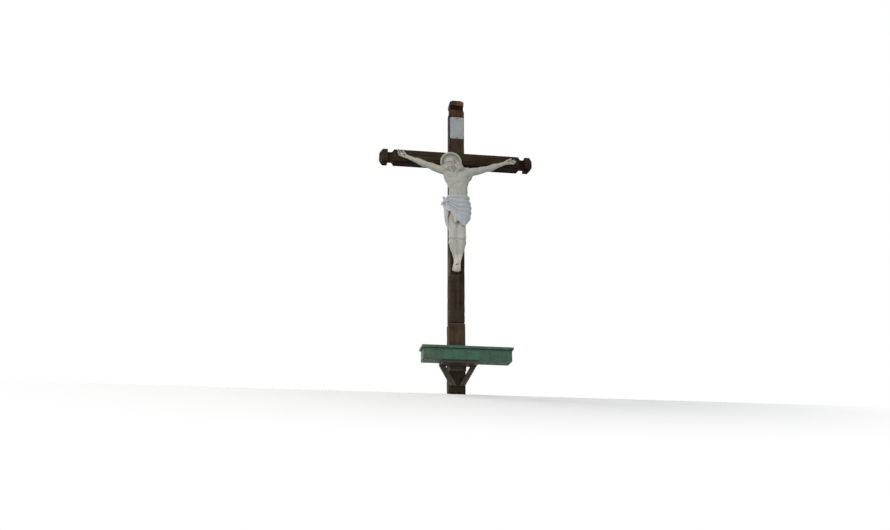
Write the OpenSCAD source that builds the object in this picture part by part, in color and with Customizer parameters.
// Wayside cross: a squared timber cross with carved ends, a cast figure
// nailed to it, a small plate above, and a planter on a shelf at its foot.
// X runs to the viewer's right, Y away from the viewer, Z up.
// The origin is on the post's axis at ground level.

/* [Post] */
// Width of the post across the front
post_w = 162; // [150:1:172]
// Depth of the post from front to back
post_d = 150; // [140:1:165]
// Height of the post's top above the ground
post_top = 3300; // [3200:10:3500]
// Length of the bevel round the post's tip
post_tip_bevel = 30; // [10:1:36]
// Straight length of the block at the post's tip
post_tip_block = 46; // [30:1:60]
// Length of the straight neck below the tip block
post_neck = 50; // [30:1:60]
// Length of the sloped shoulder below the neck
post_shoulder = 32; // [15:1:40]
// Depth of the neck on each face of the post
post_neck_depth = 8; // [4:1:20]
// How far the tip block stands back from the post's face
post_tip_inset = 3; // [0:1:5]

/* [Post foot] */
// Width of the foot across the front
foot_w = 172; // [164:1:184]
// Depth of the foot from front to back
foot_d = 164; // [156:1:176]
// Height of the foot above the ground
foot_h = 740; // [600:10:800]
// Bevel round the top edge of the foot
foot_bevel = 5; // [3:1:8]
// Thickness of the pad in the joint between foot and post
pad_t = 10; // [4:1:16]
// How far the pad stands back from the post's face
pad_inset = 9; // [4:1:14]
// Side of the square tenon between foot and post
tenon_w = 56; // [40:1:70]
// Height of the tenon above the foot
tenon_h = 100; // [60:1:140]
// Clearance round the tenon
tenon_gap = 1; // [0.5:0.5:2]

/* [Crossbeam] */
// Height of the crossbeam's section
beam_h = 140; // [130:1:148]
// Depth of the crossbeam's section
beam_d = 140; // [130:1:148]
// Half the length of the crossbeam
beam_half = 840; // [800:5:900]
// Height of the crossbeam's centre above the ground
beam_z = 2580; // [2560:5:2600]
// Length of the bevel round the beam's tips
beam_tip_bevel = 34; // [10:1:36]
// Straight length of the block at the beam's tips
beam_tip_block = 54; // [30:1:70]
// Length of the straight neck behind the tip block
beam_neck = 46; // [30:1:60]
// Length of the sloped shoulder behind the neck
beam_shoulder = 27; // [15:1:40]
// Depth of the neck on each face of the beam
beam_neck_depth = 24; // [6:1:28]

/* [Plate] */
// Width of the plate
plate_w = 150; // [120:1:160]
// Height of the plate
plate_h = 258; // [200:1:270]
// Thickness of the plate
plate_t = 4; // [2:0.5:8]
// Height of the plate's centre above the ground
plate_z = 2949; // [2940:1:2960]
// Radius of the pins that hold the plate
pin_r = 3; // [2:0.5:4]
// Distance of the pins from the plate's ends
pin_edge = 14; // [10:1:30]

/* [Figure] */
// Offset of the figure's middle line from the post's axis
figure_x = -8; // [-12:1:-4]
// Height of the waist, where the torso stands on the cloth
waist_z = 2118; // [2110:1:2126]
// Half the breadth between the shoulder joints
shoulder_x = 126; // [122:1:130]
// Height of the joint between cloth and legs
leg_top_z = 1812; // [1800:1:1824]
// Points round each limb
limb_n = 20; // [16:4:28]
// Rings between two sections of a limb
limb_steps = 3; // [2:1:4]

/* [Halo] */
// Outer radius of the halo
halo_r = 118; // [105:1:122]
// Width of the halo's raised rim
halo_rim = 26; // [15:1:34]
// Thickness of the halo at its rim
halo_t = 18; // [12:1:24]
// Depth of the dish inside the rim
halo_dish = 8; // [3:1:10]
// Sideways place of the halo's centre
halo_x = -68; // [-76:1:-60]
// Height of the halo's centre above the ground
halo_z = 2536; // [2528:1:2544]

/* [Nails] */
// Sideways distance of the hand nails from the figure's middle line
hand_nail_x = 572; // [560:1:584]
// Height of the foot nail above the ground
foot_nail_z = 1338; // [1330:1:1346]
// Radius of a nail's shank
nail_r = 5; // [3:0.5:7]
// Radius of a nail's head
nail_head_r = 9; // [8:0.5:12]
// Thickness of a nail's head
nail_head_t = 7; // [4:1:9]
// Depth of a nail in the timber
nail_depth = 55; // [30:1:60]

/* [Planter] */
// Length of the planter's box
planter_len = 900; // [700:5:1000]
// Depth of the planter's box, front to back
planter_d = 200; // [160:1:260]
// Height of the planter's box below its rim
planter_h = 117; // [100:1:160]
// Thickness of the planter's boards
board_t = 22; // [16:1:30]
// Height of the rim batten
rim_h = 26; // [18:1:34]
// How far the rim stands out from the box
rim_out = 15; // [6:1:20]
// Offset of the planter's middle from the post's axis
planter_x = 73; // [40:1:110]
// Gap between the planter's rim and the foot
planter_gap = 6; // [3:1:20]

/* [Shelf] */
// Height of the shelf's underside above the ground
shelf_z = 281; // [250:1:300]
// Thickness of the shelf board
shelf_t = 24; // [18:1:32]
// Length of the shelf board
shelf_len = 380; // [360:5:440]
// How far the shelf's front edge stands back from the planter's front
shelf_back = 14; // [4:1:30]
// Height of the cleat under the shelf's back edge
cleat_h = 50; // [35:1:60]
// Depth of the cleat
cleat_d = 40; // [30:1:50]
// Width of a strut
strut_w = 54; // [44:1:60]
// Thickness of a strut
strut_t = 40; // [30:1:50]
// Sideways place of a strut's foot
strut_foot_x = 44; // [38:1:48]
// Height of a strut's foot above the ground
strut_foot_z = 80; // [60:1:100]
// Sideways place of a strut's top
strut_top_x = 158; // [146:1:168]

/* [Hidden] */
fine = 48;
cut = 1;
big = 4000;

// Heights and faces that several pieces share
post_base = foot_h + pad_t;
face_y = -post_d / 2;
foot_face_y = -foot_d / 2;
lap_y = face_y + beam_d / 2;
beam_back_y = face_y + beam_d;

box_z = shelf_z + shelf_t;
planter_back_y = foot_face_y - planter_gap - rim_out;
planter_front_y = planter_back_y - planter_d;
hem_t = 9;

// Timber

// Half outline of a carved timber end: the slope into the neck, the neck,
// the block and its bevelled tip, as pairs of place along and half width.
function carved_end(tip, half, depth, shoulder, neck, block, bevel, inset) = [
    [tip - bevel - block - neck - shoulder, half],
    [tip - bevel - block - neck, half - depth],
    [tip - bevel - block, half - depth],
    [tip - bevel - block, half - inset],
    [tip - bevel, half - inset],
    [tip, half - inset - bevel]
];

// The points of a list in reverse order
function backwards(list) = [for (i = [len(list) - 1:-1:0]) list[i]];

// Outline of the post for a section that is size wide or deep
function post_outline(size) =
    let (e = carved_end(post_top, size / 2, post_neck_depth, post_shoulder,
        post_neck, post_tip_block, post_tip_bevel, post_tip_inset))
    concat(
        [[-size / 2, post_base], [size / 2, post_base]],
        [for (p = e) [p[1], p[0]]],
        backwards([for (p = e) [-p[1], p[0]]])
    );

// Outline of the beam for a section that is size high or deep
function beam_outline(size) =
    let (e = carved_end(beam_half, size / 2, beam_neck_depth, beam_shoulder,
        beam_neck, beam_tip_block, beam_tip_bevel, 0))
    concat(
        e,
        backwards([for (p = e) [p[0], -p[1]]]),
        [for (p = e) [-p[0], -p[1]]],
        backwards([for (p = e) [-p[0], p[1]]])
    );

// A pocket for the tenon, open at its lower end
module tenon_pocket(from_z) {
    side = tenon_w + 2 * tenon_gap;
    translate([-side / 2, -side / 2, from_z - cut])
        cube([side, side, tenon_h + tenon_gap + foot_h - from_z + cut]);
}

// A hole along Y from the timber's face, for a nail
module nail_hole(x, z, r, depth) {
    translate([x, face_y + depth, z])
        rotate([90, 0, 0])
            cylinder(r = r, h = depth + big / 4, $fn = fine);
}

module post_foot() {
    color([0.27, 0.24, 0.18]) {
        translate([-foot_w / 2, -foot_d / 2, 0])
            cube([foot_w, foot_d, foot_h - foot_bevel]);
        intersection() {
            translate([0, foot_d / 2, 0])
                rotate([90, 0, 0])
                    linear_extrude(foot_d)
                        foot_top_outline(foot_w);
            translate([-foot_w / 2, 0, 0])
                rotate([90, 0, 90])
                    linear_extrude(foot_w)
                        foot_top_outline(foot_d);
        }
        translate([-tenon_w / 2, -tenon_w / 2, foot_h - cut])
            cube([tenon_w, tenon_w, tenon_h + cut]);
    }
}

// The bevelled top of the foot, seen from one side
module foot_top_outline(size) {
    half = size / 2;
    polygon([
        [-half, foot_h - foot_bevel - cut], [half, foot_h - foot_bevel - cut],
        [half, foot_h - foot_bevel], [half - foot_bevel, foot_h],
        [foot_bevel - half, foot_h], [-half, foot_h - foot_bevel]
    ]);
}

module joint_pad() {
    wide = post_w - 2 * pad_inset;
    deep = post_d - 2 * pad_inset;
    color([0.08, 0.07, 0.06])
        difference() {
            translate([-wide / 2, -deep / 2, foot_h])
                cube([wide, deep, pad_t]);
            tenon_pocket(foot_h);
        }
}

module post() {
    color([0.23, 0.17, 0.13])
        difference() {
            intersection() {
                translate([0, post_d / 2, 0])
                    rotate([90, 0, 0])
                        linear_extrude(post_d)
                            polygon(post_outline(post_w));
                translate([-post_w / 2, 0, 0])
                    rotate([90, 0, 90])
                        linear_extrude(post_w)
                            polygon(post_outline(post_d));
            }
            tenon_pocket(post_base);
            translate([-post_w, -post_d, beam_z - beam_h / 2])
                cube([2 * post_w, post_d + lap_y, beam_h]);
            nail_hole(foot_nail_x, foot_nail_z, nail_r, nail_depth);
            for (z = pin_heights)
                nail_hole(0, z, pin_r, pin_depth);
        }
}

module crossbeam() {
    color([0.25, 0.19, 0.14])
        difference() {
            intersection() {
                translate([0, beam_back_y, beam_z])
                    rotate([90, 0, 0])
                        linear_extrude(beam_d)
                            polygon(beam_outline(beam_h));
                translate([0, face_y + beam_d / 2, beam_z - beam_h / 2])
                    linear_extrude(beam_h)
                        polygon(beam_outline(beam_d));
            }
            translate([-post_w / 2, lap_y, beam_z - beam_h])
                cube([post_w, beam_d, 2 * beam_h]);
            for (side = [-1, 1])
                nail_hole(figure_x + side * hand_nail_x, hand_z, nail_r, nail_depth);
        }
}

// Plate

pin_depth = 35;
pin_head_r = 6;
pin_head_t = 2.5;
pin_heights = [plate_z - plate_h / 2 + pin_edge, plate_z + plate_h / 2 - pin_edge];

module titulus_plate() {
    color([0.78, 0.80, 0.78])
        difference() {
            translate([-plate_w / 2, face_y - plate_t, plate_z - plate_h / 2])
                cube([plate_w, plate_t, plate_h]);
            for (z = pin_heights)
                nail_hole(0, z, pin_r, pin_depth);
        }
}

module titulus_pins() {
    color([0.15, 0.14, 0.13])
        for (z = pin_heights)
            nail(0, face_y - plate_t, z, pin_r, pin_depth + plate_t, pin_head_r, pin_head_t);
}

// A nail along Y: its head's underside at y, its point in the timber
module nail(x, y, z, r, length, head_r, head_t) {
    translate([x, y, z])
        rotate([90, 0, 0]) {
            translate([0, 0, -length])
                cylinder(r = r, h = length, $fn = fine);
            cylinder(r1 = head_r, r2 = head_r * 0.72, h = head_t, $fn = fine);
        }
}

// Figure

// A section of a limb is [x, y, z, half width, half depth].
// The sections are joined by smooth curves through them.
function blend(a, b, c, d, t) =
    0.5 * ((2 * b) + (c - a) * t + (2 * a - 5 * b + 4 * c - d) * t * t
        + (3 * b - a - 3 * c + d) * t * t * t);

function curve(s) =
    let (last = len(s) - 1)
    concat(
        [for (i = [0:last - 1]) for (k = [0:limb_steps - 1])
            blend(s[max(i - 1, 0)], s[i], s[i + 1], s[min(i + 2, last)], k / limb_steps)],
        [s[last]]
    );

// The points round one section, in the plane of the directions u and v
function section_ring(s, u, v) = [
    for (i = [0:limb_n - 1])
        let (t = 360 * i / limb_n)
        [s[0], s[1], s[2]] + u * s[3] * cos(t) + v * s[4] * sin(t)
];

// A closed form through the rings of a list of sections
module limb(sections, u, v) {
    rings = [for (s = curve(sections)) section_ring(s, u, v)];
    count = len(rings);
    points = [for (r = rings) for (p = r) p];
    sides = [
        for (j = [0:count - 2]) for (i = [0:limb_n - 1])
            let (k = (i + 1) % limb_n, a = j * limb_n)
            [[a + i, a + limb_n + i, a + k], [a + k, a + limb_n + i, a + limb_n + k]]
    ];
    first = [for (i = [0:limb_n - 1]) i];
    end = [for (i = [limb_n - 1:-1:0]) (count - 1) * limb_n + i];
    polyhedron(points = points, faces = concat([for (q = sides) for (t = q) t], [first, end]));
}

X = [1, 0, 0];
Y = [0, 1, 0];
Z = [0, 0, 1];

hand_z = 2576;
foot_nail_x = -20;
hand_front_y = -107;
foot_front_y = -196;

torso_sections = [
    [4, -140, waist_z, 103, 58],
    [5, -140, 2155, 103, 56],
    [4, -142, 2205, 108, 59],
    [0, -147, 2265, 124, 65],
    [0, -151, 2325, 143, 70],
    [0, -150, 2370, 150, 67],
    [0, -146, 2412, 138, 57],
    [-10, -140, 2442, 100, 45],
    [-38, -142, 2462, 52, 40],
    [-60, -150, 2490, 40, 38]
];

head_sections = [
    [-86, -200, 2386, 16, 18],
    [-87, -190, 2402, 36, 38],
    [-88, -178, 2435, 54, 58],
    [-90, -172, 2475, 64, 70],
    [-92, -168, 2515, 67, 74],
    [-93, -166, 2548, 54, 60],
    [-94, -164, 2566, 30, 34],
    [-94, -164, 2572, 8, 10]
];

// Sections of an arm from its shoulder to its fingertips: half the height
// and half the depth with the distance from the middle line and the depth
function arm_sections(side, heights) = [
    [side * shoulder_x * 0.9, -140, heights[0], 54, 50],
    [side * shoulder_x, -139, heights[1], 51, 49],
    [side * 190, -133, heights[2], 42, 42],
    [side * 280, -124, heights[3], 39, 38],
    [side * 365, -116, heights[4], 35, 34],
    [side * 430, -110, heights[5], 34, 31],
    [side * 500, -102, heights[6], 27, 24],
    [side * 534, -95, heights[7], 21, 19],
    [side * 572, -91, heights[8], 28, 18],
    [side * 608, -90, heights[9], 25, 15],
    [side * 636, -89, heights[10], 17, 12],
    [side * 658, -88, heights[11], 7, 7]
];

left_arm_heights = [2408, 2410, 2424, 2447, 2480, 2508, 2543, 2562, 2576, 2588, 2596, 2602];
right_arm_heights = [2408, 2410, 2422, 2438, 2463, 2494, 2538, 2560, 2576, 2580, 2581, 2582];

cloth_sections = [
    [-20, -156, 1768, 112, 76],
    [-18, -154, 1800, 124, 82],
    [-6, -150, 1855, 137, 86],
    [3, -147, 1930, 147, 84],
    [3, -144, 2000, 148, 79],
    [5, -141, 2065, 126, 70],
    [4, -140, waist_z, 109, 63]
];

knot_sections = [
    [-132, -128, 1890, 10, 8],
    [-131, -130, 1910, 18, 16],
    [-132, -134, 1960, 22, 24],
    [-136, -140, 2005, 25, 30],
    [-139, -146, 2035, 25, 28],
    [-137, -146, 2058, 16, 16],
    [-134, -146, 2064, 6, 6]
];

left_leg_sections = [
    [-22, -176, 1262, 40, 8],
    [-20, -176, 1285, 41, 16],
    [-16, -166, 1335, 33, 25],
    [-18, -152, 1385, 29, 32],
    [-26, -146, 1425, 28, 33],
    [-47, -152, 1525, 37, 42],
    [-52, -174, 1600, 44, 50],
    [-53, -182, 1640, 46, 50],
    [-57, -168, 1720, 49, 54],
    [-60, -152, leg_top_z, 50, 58]
];

right_leg_sections = [
    [-6, -128, 1266, 36, 8],
    [-4, -128, 1288, 36, 16],
    [2, -122, 1340, 30, 24],
    [10, -124, 1390, 28, 30],
    [14, -130, 1425, 29, 32],
    [27, -148, 1525, 37, 42],
    [39, -172, 1600, 47, 50],
    [38, -180, 1640, 47, 50],
    [36, -168, 1720, 46, 54],
    [34, -152, leg_top_z, 47, 58]
];

module at_figure() {
    translate([figure_x, 0, 0])
        children();
}

// The room behind the figure that the timber and the halo take
module behind_face() {
    translate([-big / 2, face_y, 0])
        cube([big, big, big]);
}

module halo_room() {
    translate([halo_x, face_y + cut, halo_z])
        rotate([90, 0, 0])
            cylinder(r = halo_r, h = halo_t + cut, $fn = 96);
}

module corpus_halo() {
    color([0.74, 0.75, 0.70])
        translate([halo_x, face_y, halo_z])
            rotate([90, 0, 0])
                rotate_extrude($fn = 96)
                    polygon([
                        [0, 0], [halo_r - 3, 0], [halo_r, 3], [halo_r, halo_t - 5],
                        [halo_r - 5, halo_t], [halo_r - halo_rim + 5, halo_t],
                        [halo_r - halo_rim, halo_t - halo_dish], [0, halo_t - halo_dish]
                    ]);
}

module torso_form() {
    at_figure()
        limb(torso_sections, X, Y);
}

module corpus_torso() {
    color([0.76, 0.77, 0.74])
        difference() {
            torso_form();
            behind_face();
            halo_room();
            head_form();
            arm_form(-1, left_arm_heights);
            arm_form(1, right_arm_heights);
        }
}

module head_form() {
    limb(head_sections, X, Y);
}

module corpus_head() {
    color([0.76, 0.77, 0.73])
        difference() {
            head_form();
            halo_room();
        }
}

// The arm from the shoulder joint outwards
module arm_form(side, heights) {
    difference() {
        at_figure()
            limb(arm_sections(side, heights), Z, -side * Y);
        translate([figure_x + side * (shoulder_x - big / 2), 0, 0])
            cube([big, big, 2 * big], center = true);
    }
}

module arm(side, heights) {
    color([0.76, 0.77, 0.74])
        difference() {
            arm_form(side, heights);
            behind_face();
            nail_hole(figure_x + side * hand_nail_x, hand_z, nail_r, nail_depth);
        }
}

module corpus_left_arm() {
    arm(-1, left_arm_heights);
}

module corpus_right_arm() {
    arm(1, right_arm_heights);
}

module cloth_form() {
    at_figure()
        limb(cloth_sections, X, Y);
}

// The hollow under the cloth's hem, in which the legs stand
module hem_hollow() {
    intersection() {
        at_figure()
            limb([for (s = cloth_sections) s - [0, 0, 0, hem_t, hem_t]], X, Y);
        translate([-big / 2, -big / 2, 0])
            cube([big, big, leg_top_z]);
    }
}

module corpus_loincloth() {
    color([0.78, 0.78, 0.76])
        difference() {
            cloth_form();
            behind_face();
            hem_hollow();
        }
}

module corpus_cloth_knot() {
    color([0.78, 0.78, 0.76])
        difference() {
            at_figure()
                limb(knot_sections, X, Y);
            cloth_form();
            behind_face();
        }
}

module leg_form(sections) {
    difference() {
        at_figure()
            limb(sections, X, Y);
        translate([-big / 2, -big / 2, leg_top_z])
            cube([big, big, big]);
        behind_face();
    }
}

module corpus_left_leg() {
    color([0.76, 0.76, 0.72])
        difference() {
            leg_form(left_leg_sections);
            nail_hole(foot_nail_x, foot_nail_z, nail_r, nail_depth);
        }
}

module corpus_right_leg() {
    color([0.76, 0.76, 0.72])
        difference() {
            leg_form(right_leg_sections);
            leg_form(left_leg_sections);
            nail_hole(foot_nail_x, foot_nail_z, nail_r, nail_depth);
        }
}

// Nails of the figure

module figure_nail(x, front_y, z) {
    color([0.16, 0.13, 0.11])
        nail(x, front_y, z, nail_r, face_y + nail_depth - front_y, nail_head_r, nail_head_t);
}

module nail_left_hand() {
    figure_nail(figure_x - hand_nail_x, hand_front_y, hand_z);
}

module nail_right_hand() {
    figure_nail(figure_x + hand_nail_x, hand_front_y, hand_z);
}

module nail_feet() {
    figure_nail(foot_nail_x, foot_front_y, foot_nail_z);
}

// Planter

module planter_board(x, y, z, size) {
    color([0.13, 0.36, 0.30])
        translate([x, y, z])
            cube(size);
}

module planter_front() {
    planter_board(planter_x - planter_len / 2, planter_front_y, box_z,
        [planter_len, board_t, planter_h]);
}

module planter_back() {
    planter_board(planter_x - planter_len / 2, planter_back_y - board_t, box_z,
        [planter_len, board_t, planter_h]);
}

module planter_end(x) {
    planter_board(x, planter_front_y + board_t, box_z,
        [board_t, planter_d - 2 * board_t, planter_h]);
}

module planter_left_end() {
    planter_end(planter_x - planter_len / 2);
}

module planter_right_end() {
    planter_end(planter_x + planter_len / 2 - board_t);
}

module planter_bottom() {
    planter_board(planter_x - planter_len / 2 + board_t, planter_front_y + board_t, box_z,
        [planter_len - 2 * board_t, planter_d - 2 * board_t, board_t]);
}

// A rim batten lies on the boards' edges and stands out over them
module rim_along(y) {
    planter_board(planter_x - planter_len / 2 - rim_out, y, box_z + planter_h,
        [planter_len + 2 * rim_out, rim_out + board_t, rim_h]);
}

module rim_across(x) {
    planter_board(x, planter_front_y + board_t, box_z + planter_h,
        [rim_out + board_t, planter_d - 2 * board_t, rim_h]);
}

module planter_rim_front() {
    rim_along(planter_front_y - rim_out);
}

module planter_rim_back() {
    rim_along(planter_back_y - board_t);
}

module planter_rim_left() {
    rim_across(planter_x - planter_len / 2 - rim_out);
}

module planter_rim_right() {
    rim_across(planter_x + planter_len / 2 - board_t);
}

// Shelf

module shelf_board() {
    front_y = planter_front_y + shelf_back;
    color([0.20, 0.15, 0.11])
        translate([-shelf_len / 2, front_y, shelf_z])
            cube([shelf_len, foot_face_y - front_y, shelf_t]);
}

module shelf_cleat() {
    color([0.20, 0.15, 0.11])
        translate([-foot_w / 2, foot_face_y - cleat_d, shelf_z - cleat_h])
            cube([foot_w, cleat_d, cleat_h]);
}

// A strut lies flat on the foot's face and rises outwards to the shelf.
// Both its ends are cut level.
module strut(side) {
    low = [side * strut_foot_x, strut_foot_z];
    top = [side * strut_top_x, shelf_z];
    half = [strut_w / 2 * norm(top - low) / (shelf_z - strut_foot_z), 0];
    color([0.20, 0.15, 0.11])
        translate([0, foot_face_y, 0])
            rotate([90, 0, 0])
                linear_extrude(strut_t)
                    polygon([low - half, low + half, top + half, top - half]);
}

module strut_left() {
    strut(-1);
}

module strut_right() {
    strut(1);
}

post_foot();
joint_pad();
post();
crossbeam();
titulus_plate();
titulus_pins();
corpus_halo();
corpus_head();
corpus_torso();
corpus_left_arm();
corpus_right_arm();
corpus_loincloth();
corpus_cloth_knot();
corpus_left_leg();
corpus_right_leg();
nail_left_hand();
nail_right_hand();
nail_feet();
planter_front();
planter_back();
planter_left_end();
planter_right_end();
planter_bottom();
planter_rim_front();
planter_rim_back();
planter_rim_left();
planter_rim_right();
shelf_board();
shelf_cleat();
strut_left();
strut_right();
